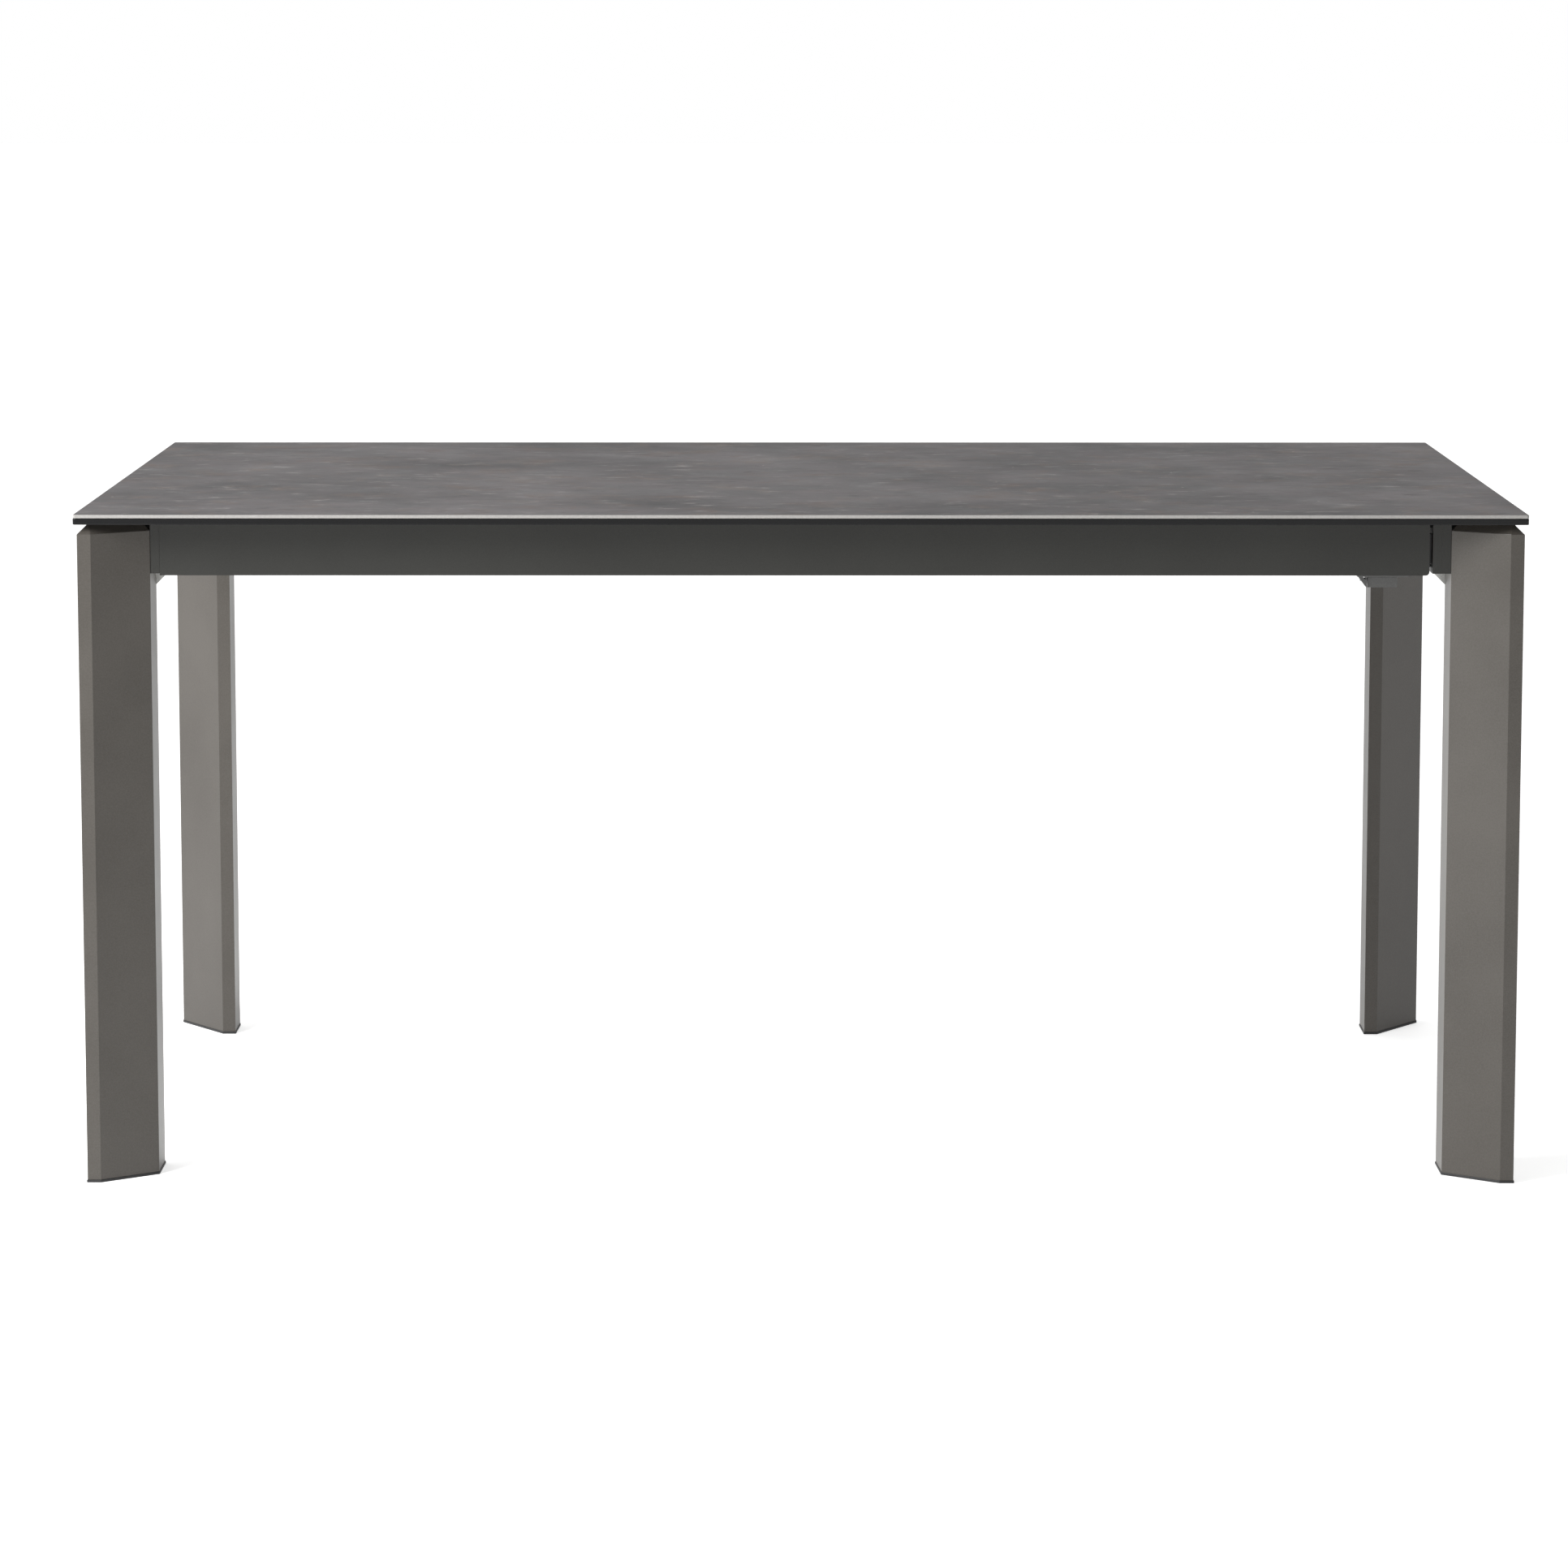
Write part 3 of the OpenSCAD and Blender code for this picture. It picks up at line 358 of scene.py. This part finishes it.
def pan_head_screw(seat, outward, head_r, head_h, shank_r, shank_l):
    """A screw whose head sits on seat and looks outward: thread, washer face, dome and six-lobed recess."""
    sides, dome_steps = 36, 7
    core, pitch, tip = 0.8 * shank_r, 0.45 * shank_r, 0.6 * shank_r
    turn = [2 * math.pi * j / sides for j in range(sides)]

    def ring(radius, z, lobes=0.0):
        """A ring around the screw's axis; lobes is how far its six lobes stand out, as a share."""
        sizes = [radius * (1 + lobes * math.cos(6 * t)) for t in turn]
        return [Vector((r * math.cos(t), r * math.sin(t), z)) for r, t in zip(sizes, turn)]

    # The tip and the thread's ridges
    rings = [ring(0.5 * shank_r, -shank_l), ring(core, tip - shank_l)]
    for i in range(int((shank_l - shank_r) / pitch)):
        z = tip - shank_l + i * pitch
        rings += [ring(core, z + 0.2 * pitch), ring(shank_r, z + 0.6 * pitch)]
    # The washer face and the dome: its straight rim and its flat crown are shares of the head's size
    rim, crown = 0.12, 0.62
    rings += [ring(core, 0), ring(head_r * 0.98, 0), ring(head_r, head_h * rim)]
    for i in range(dome_steps):
        angle = math.pi / 2 * i / dome_steps
        r = head_r * (crown + (1 - crown) * math.cos(angle))
        rings.append(ring(r, head_h * (rim + (1 - rim) * math.sin(angle))))
    # The recess, down to its floor
    rings += [ring(head_r * 0.5, head_h, 0.1), ring(head_r * 0.47, head_h * 0.94, 0.13)]
    rings += [ring(head_r * 0.45, head_h * 0.35, 0.13), ring(head_r * 0.2, head_h * 0.2)]
    turned = Vector(outward).to_track_quat("Z", "Y").to_matrix().to_4x4()
    place = Matrix.Translation(seat) @ turned
    points, faces = skin(rings)
    return [place @ p for p in points], faces


def frame_screws():
    """A screw for each plain one in the CAD node: along Y through the aprons, along Z into the discs."""
    disc_head_h, apron_head_h = 1.6 * MM, 2 * MM
    screws = []
    for low, high in solids("cross_member_screws"):
        size = high - low
        middle = (low + high) / 2
        if size.z > size.x + 1 * MM:
            outward, head_h, length = (0, 0, -1), disc_head_h, size.z
            seat = Vector((middle.x, middle.y, low.z + head_h))
        else:
            inward, inner = (-1, low.y) if middle.y > 0 else (1, high.y)
            outward, head_h, length = (0, inward, 0), apron_head_h, size.y
            seat = Vector((middle.x, inner - inward * head_h, middle.z))
        screws.append(pan_head_screw(seat, outward, size.x / 2, head_h, size.x / 4, length - head_h))
    return screws


screws = new_piece("frame_screws", frame_screws(), bright_zinc, "main_frame")
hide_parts("cross_member_screws")


# ---------------------------------------------------------------------------
# Telescopic rails: the outer rail of cold-rolled steel strip, left bright and oiled, the middle rail and the
# inner bar black as painted shade that keeps the gap at the moving end dark, and nylon collars between them.
# The brake runs on a bright steel strip.
# ---------------------------------------------------------------------------

rolled_steel = plated_metal("cold-rolled steel", "#8A8D90", "#A1A4A6", 0.35, rolled=(0.04, 1, 1))
BRIGHT_RAILS = ["outer_rail_front", "outer_rail_back", "lock_bar"]
finish(rolled_steel, *BRIGHT_RAILS)
ease_edges(0.4, *BRIGHT_RAILS)

# Painted shade: the middle and inner rails are coloured black so that the gap between the frame and the
# moving end stays dark
rail_gap_shade_black = powder_coat("black for painted gap shade", "#1C1C1D", "#242425", 0.32)
RAILS_BLACK_FOR_GAP_SHADE = ["middle_rail_front", "middle_rail_back", "inner_rail_front", "inner_rail_back"]
finish(rail_gap_shade_black, *RAILS_BLACK_FOR_GAP_SHADE)
ease_edges(0.4, *RAILS_BLACK_FOR_GAP_SHADE)

nylon = moulded_plastic("natural nylon", "#D2CFC4", "#E4E2DA", 0.45)
COLLARS = ["outer_rail_bushes", "middle_bushes_front", "middle_bushes_back", "inner_bushes"]
finish(nylon, *COLLARS)
ease_edges(0.25, *COLLARS)

rubber = moulded_plastic("black rubber", "#1A1A1A", "#242424", 0.75)
finish(rubber, "end_buffers")
ease_edges(0.4, "end_buffers")


# ---------------------------------------------------------------------------
# Leaf carrier: bearers of bright steel tube on nylon glides, with flat lift arms, a cradle and riveted pins.
# The nut plates inside the legs are of the same steel, and so is the strip that guides the bearers.
# ---------------------------------------------------------------------------

CARRIER = ["leaf_bearers", "lift_arms", "leaf_cradle", "nut_plates_fixed", "nut_plates_moving"]
finish(rolled_steel, *CARRIER)
ease_edges(0.4, *CARRIER)
rolled_across = plated_metal("cold-rolled steel across", "#8A8D90", "#A1A4A6", 0.35, rolled=(1, 0.04, 1))
finish(rolled_across, "guide_strip")
ease_edges(0.4, "guide_strip")
finish(bright_zinc, "lift_arm_pins")
ease_edges(0.3, "lift_arm_pins")
GLIDES = ["guide_glides", "end_rail_pads"]
finish(nylon, *GLIDES)
ease_edges(0.4, *GLIDES)


# ---------------------------------------------------------------------------
# Top: 4 mm of sintered ceramic bonded on 7 mm of tempered glass. The ceramic's upper face is printed and
# fired in a worn cement grey, its body is pale, and the glass below is lacquered black on its underside.
# ---------------------------------------------------------------------------

def fired_ceramic():
    """Sintered ceramic: a matt face with clouds, rusty and pale worn spots, over a pale body at the edges."""
    material, tree, shader, place = start_material("sintered ceramic")
    at = place["Object"]
    cloud = add(tree, "TexNoise", {"Vector": at, "Scale": per(210), "Detail": 5, "Roughness": 0.6})
    patch = add(tree, "TexNoise", {"Vector": at, "Scale": per(55), "Detail": 8, "Roughness": 0.7,
                                   "Distortion": 0.25})
    both = add(tree, "Math", {0: cloud, 1: patch}, operation="ADD")
    tone = add(tree, "MapRange", {"Value": both, "From Min": 0.8, "From Max": 1.2})
    printed = add(tree, "Mix", {SHARE: tone, FIRST: "#282627", SECOND: "#625D5E"}, MIXED, data_type="RGBA")

    rust = add(tree, "TexNoise", {"Vector": at, "Scale": per(70), "Detail": 7, "Roughness": 0.72,
                                  "Distortion": 0.3})
    # Worn spots are drawn out along the table, and moved so that they don't follow the clouds
    streaks = add(tree, "Mapping", {"Vector": at, "Scale": (0.45, 1.0, 1.0), "Location": (3.1, 1.7, 0.0)})
    worn = add(tree, "TexNoise", {"Vector": streaks, "Scale": per(18), "Detail": 8, "Roughness": 0.66})
    flecks = add(tree, "TexVoronoi", {"Vector": at, "Scale": per(60)})
    # Over the grey: where each layer starts, where it is full, how much it covers, and its colour
    for layer, start, full, most, colour in (
            (rust, 0.52, 0.66, 0.6, "#5E4F46"),
            (worn, 0.58, 0.72, 0.75, "#8A8683"),
            (worn, 0.42, 0.28, 0.75, "#1F1F1F"),
            (flecks, 0.035, 0.02, 0.6, "#A8A198")):
        share = add(tree, "MapRange", {"Value": layer, "From Min": start, "From Max": full, "To Max": most})
        printed = add(tree, "Mix", {SHARE: share, FIRST: printed, SECOND: colour}, MIXED, data_type="RGBA")

    # The pale body shows wherever the surface turns away from the printed face
    level = add(tree, "Math", {0: add(tree, "SeparateXYZ", {0: place["Normal"]}, "Z")}, operation="ABSOLUTE")
    is_face = add(tree, "MapRange", {"Value": level, "From Min": 0.93, "From Max": 0.985})
    grain = add(tree, "TexNoise", {"Vector": at, "Scale": per(3), "Detail": 4})
    body = add(tree, "Mix", {SHARE: grain, FIRST: "#9C9A97", SECOND: "#B6B4B1"}, MIXED, data_type="RGBA")

    # The relief follows the print. Its grit is below 0.5 mm wide, and drawn coarser so that it shows
    grit = add(tree, "TexNoise", {"Vector": at, "Scale": per(1.8), "Detail": 3, "Roughness": 0.6})
    relief = add(tree, "Math", {0: patch, 1: 2.5, 2: grit}, operation="MULTIPLY_ADD")
    connect(shader, {
        "Base Color": add(tree, "Mix", {SHARE: is_face, FIRST: body, SECOND: printed}, MIXED,
                          data_type="RGBA"),
        "Roughness": add(tree, "MapRange", {"Value": patch, "From Min": 0.3, "From Max": 0.7,
                                            "To Min": 0.42, "To Max": 0.66}),
        "Normal": add(tree, "Bump", {"Height": relief, "Strength": 0.4, "Distance": 0.12 * MM}),
        "Specular IOR Level": 0.3,
    })
    return material


ceramic = fired_ceramic()
finish(ceramic, "top_ceramic")
ease_edges(0.8, "top_ceramic", segments=3)


def lacquered_glass():
    """Tempered glass with black lacquer behind it: deep and glossy, with ground and polished edges.

    Real grinding strokes are about 0.1 mm wide. They are drawn coarser, so that they show.
    """
    material, tree, shader, place = start_material("black lacquered glass")
    at = place["Object"]
    level = add(tree, "Math", {0: add(tree, "SeparateXYZ", {0: place["Normal"]}, "Z")}, operation="ABSOLUTE")
    is_face = add(tree, "MapRange", {"Value": level, "From Min": 0.9, "From Max": 0.99})
    strokes = add(tree, "Mapping", {"Vector": at, "Scale": (0.05, 0.05, 1.0)})
    grind = add(tree, "TexNoise", {"Vector": strokes, "Scale": per(0.9), "Detail": 2})
    smear = add(tree, "TexNoise", {"Vector": at, "Scale": per(90), "Detail": 5, "Roughness": 0.6})
    on_edge = add(tree, "MapRange", {"Value": grind, "To Min": 0.15, "To Max": 0.26})
    on_face = add(tree, "MapRange", {"Value": smear, "From Min": 0.35, "From Max": 0.7,
                                     "To Min": 0.1, "To Max": 0.2})
    connect(shader, {
        "Base Color": add(tree, "Mix", {SHARE: smear, FIRST: "#060607", SECOND: "#0E0E10"}, MIXED,
                          data_type="RGBA"),
        "Roughness": add(tree, "Mix", {SHARE: is_face, FIRST_NUMBER: on_edge, SECOND_NUMBER: on_face}),
        "Normal": add(tree, "Bump", {"Height": grind, "Strength": 0.15, "Distance": 0.02 * MM}),
        "Specular IOR Level": 0.38,
    })
    return material


glass = lacquered_glass()
finish(glass, "top_glass")
ease_edges(0.8, "top_glass")
finish(rolled_steel, "top_discs")
ease_edges(0.4, "top_discs")
finish(nylon, "top_pads")
ease_edges(0.4, "top_pads")


def glue_ring(low, high):
    """What is pressed out around a disc that is bonded to the glass, uneven as it set."""
    count, bead_mm, below_glass = 96, 1.1, 1.3 * MM
    middle = (low + high) / 2
    radius = (high.x - low.x) / 2 + 0.4 * MM
    turn = [2 * math.pi * i / count for i in range(count)]
    sway = [0.35 * math.sin(3 * t + 40 * middle.x) + 0.2 * math.sin(7 * t + 9 * middle.y) for t in turn]
    path = [Vector((middle.x + (radius + s * MM) * math.cos(t), middle.y + (radius + s * MM) * math.sin(t),
                    high.z - below_glass)) for s, t in zip(sway, turn)]
    return along(path, lambda i: (bead_mm + 0.15 * math.sin(5 * turn[i])) * MM, closed=True)


new_piece("disc_glue", [glue_ring(*box) for box in solids("top_discs")], rubber, "main_frame")


# ---------------------------------------------------------------------------
# Folded leaf: two halves of the same ceramic and glass, closed like a book with felt discs between the
# ceramic faces, on steel hinges with zinc-plated pins.
# ---------------------------------------------------------------------------

finish(ceramic, "leaf_lower_ceramic", "leaf_upper_ceramic")
finish(glass, "leaf_lower_glass", "leaf_upper_glass")
ease_edges(0.8, "leaf_lower_ceramic", "leaf_upper_ceramic", "leaf_lower_glass", "leaf_upper_glass")
finish(rolled_steel, "leaf_hinges")
finish(bright_zinc, "leaf_hinge_pins")
ease_edges(0.25, "leaf_hinges", "leaf_hinge_pins")


def wool_felt():
    """Grey wool felt: pressed fibres that stand up in a short nap.

    Real fibres are far below 0.1 mm wide. They are drawn coarser, so that they show.
    """
    material, tree, shader, place = start_material("grey wool felt")
    at = place["Object"]
    fibres = add(tree, "TexNoise", {"Vector": at, "Scale": per(0.7), "Detail": 6, "Roughness": 0.75,
                                    "Distortion": 2.0})
    tufts = add(tree, "TexNoise", {"Vector": at, "Scale": per(4), "Detail": 3})
    both = add(tree, "Math", {0: fibres, 1: tufts}, operation="ADD")
    tone = add(tree, "MapRange", {"Value": both, "From Min": 0.75, "From Max": 1.25})
    connect(shader, {
        "Base Color": add(tree, "Mix", {SHARE: tone, FIRST: "#383532", SECOND: "#5C5854"}, MIXED,
                          data_type="RGBA"),
        "Normal": add(tree, "Bump", {"Height": fibres, "Strength": 0.8, "Distance": 0.25 * MM}),
        "Roughness": 0.95,
        "Sheen Weight": 0.4,
    })
    return material


finish(wool_felt(), "leaf_felts")
ease_edges(0.3, "leaf_felts")


# ---------------------------------------------------------------------------
# Lock: a pressed housing and a lever in mid grey paint, on a steel pin, with a rubber brake pad and a torsion
# spring of bright wire that holds the pad up.
# ---------------------------------------------------------------------------

grey_paint = powder_coat("mid grey paint", "#616160", "#6B6B6A", 0.36)
finish(grey_paint, "lock_lever", "lock_housing")
finish(rolled_steel, "lock_pin")
finish(rubber, "brake_pad")
ease_edges(0.4, "lock_lever", "lock_housing")
ease_edges(0.3, "lock_pin", "brake_pad")


def torsion_spring():
    """The coil around the pin with a leg up to the housing, and the other leg, under the lever's arm."""
    wire = 0.5 * MM
    housing_sheet, half_arm = 2 * MM, 2 * MM
    arm_reach, bend_r, tail_l = 8.5 * MM, 1.2 * MM, 6 * MM
    low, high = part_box("lock_spring")
    radius = (high.z - low.z) / 2 - wire
    axis = Vector((0, (low.y + high.y) / 2, (low.z + high.z) / 2))

    def on_coil(angle, x):
        """A point of the coil, by its angle around the pin and its place along it."""
        return axis + Vector((x, radius * math.cos(angle), radius * math.sin(angle)))

    # Four and a quarter turns, from the lowest point at the lever's barrel to the side next to the paddle
    first, last = -0.5 * math.pi, -9 * math.pi
    steps = 240
    start_x, end_x = low.x + wire, high.x - wire
    coil = [on_coil(first + (last - first) * i / steps, start_x + (end_x - start_x) * i / steps)
            for i in range(steps + 1)]
    up_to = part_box("lock_housing")[1].z - housing_sheet - wire
    leg_up = [Vector((end_x, coil[-1].y, coil[-1].z + (up_to - coil[-1].z) * i / 12)) for i in range(1, 13)]
    fixed = along(coil + leg_up, lambda i: wire)

    # The other leg starts inside the coil's end, dips under the arm and turns along it
    under = axis.z - half_arm - wire
    reach = axis.y + arm_reach
    lap = [on_coil(first - 0.5 + 0.5 * i / 8, start_x) for i in range(8)]
    start = on_coil(first, start_x)
    out = [Vector((start_x, start.y + (reach - start.y) * t,
                   start.z + (under - start.z) * t * t * (3 - 2 * t)))
           for t in (i / 16 for i in range(17))]
    bend = [Vector((start_x - bend_r * (1 - math.cos(t)), reach + bend_r * math.sin(t), under))
            for t in (math.pi / 2 * i / 6 for i in range(1, 7))]
    tail = [Vector((start_x - bend_r - tail_l * i / 6, reach + bend_r, under)) for i in range(1, 7)]
    loose = along(lap + out + bend + tail, lambda i: wire)
    return fixed, loose


coil, lever_leg = torsion_spring()
spring = new_piece("torsion_spring", [coil], rolled_steel, "main_frame")
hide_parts("lock_spring")
new_piece("torsion_spring_leg", [lever_leg], rolled_steel, "release_lever")


# ---------------------------------------------------------------------------
# Studio: a white floor and surround that is brightest behind the table and at its left, and one large soft
# light at the left.
# ---------------------------------------------------------------------------

def area_light(name, at, aim, size, power):
    """A soft rectangular light that points from one place to another."""
    data = bpy.data.lights.new(name, "AREA")
    data.shape = "RECTANGLE"
    data.size, data.size_y = size
    data.energy = power
    lamp = bpy.data.objects.new(name, data)
    lamp.location = at
    lamp.rotation_euler = (Vector(aim) - Vector(at)).to_track_quat("-Z", "Y").to_euler()
    bpy.context.collection.objects.link(lamp)


scene = bpy.context.scene
scene.view_settings.view_transform = "Standard"
world = bpy.data.worlds.new("white studio")
world.use_nodes = True
around = world.node_tree
# The camera sees plain white. The light it gives is 0.52, and more from behind (+Y) and from the left (-X)
shown_at = around.nodes.new("ShaderNodeTexCoord").outputs["Generated"]
towards = add(around, "SeparateXYZ", {0: shown_at}).node.outputs
from_left = add(around, "Math", {0: towards["X"], 1: -0.45, 2: 0.52}, operation="MULTIPLY_ADD")
from_back = add(around, "Math", {0: towards["Y"], 1: 0.36, 2: from_left}, operation="MULTIPLY_ADD")
seen = add(around, "LightPath", {}, "Is Camera Ray")
level = add(around, "Mix", {SHARE: seen, FIRST_NUMBER: from_back, SECOND_NUMBER: 1.0})
connect(around.nodes["Background"], {"Color": "#FFFFFF", "Strength": level})
scene.world = world

HALF_FLOOR = 40.0
corners = [(x * HALF_FLOOR, y * HALF_FLOOR, 0) for x, y in ((-1, -1), (1, -1), (1, 1), (-1, 1))]
floor_mesh = bpy.data.meshes.new("floor")
floor_mesh.from_pydata(corners, [], [(0, 1, 2, 3)])
floor = bpy.data.objects.new("floor", floor_mesh)
bpy.context.collection.objects.link(floor)
# The camera sees the floor brighter than it lights the table, so that it stays white with faint shadows
floor_paint, floor_tree, floor_shader, _ = start_material("lit white floor")
seen = add(floor_tree, "LightPath", {}, "Is Camera Ray")
connect(floor_shader, {
    "Base Color": "#F4F4F3",
    "Roughness": 0.7,
    "Emission Color": "#FFFFFF",
    "Emission Strength": add(floor_tree, "Mix", {SHARE: seen, FIRST_NUMBER: 0.38, SECOND_NUMBER: 0.68}),
})
floor_mesh.materials.append(floor_paint)

area_light("key", at=(-2.6, -2.0, 2.3), aim=(-0.3, 0, 0.6), size=(1.6, 1.6), power=130)

LOOKS_DOWN_DEG, LOOKS_LEFT_DEG = 6.87, 0.14
camera_data = bpy.data.cameras.new("camera")
camera_data.lens = 113.3
camera_data.shift_y = -0.12
camera = bpy.data.objects.new("camera", camera_data)
camera.location = (-0.005, -5.839, 1.310)
camera.rotation_euler = (math.radians(90 - LOOKS_DOWN_DEG), 0, math.radians(LOOKS_LEFT_DEG))
bpy.context.collection.objects.link(camera)
scene.camera = camera
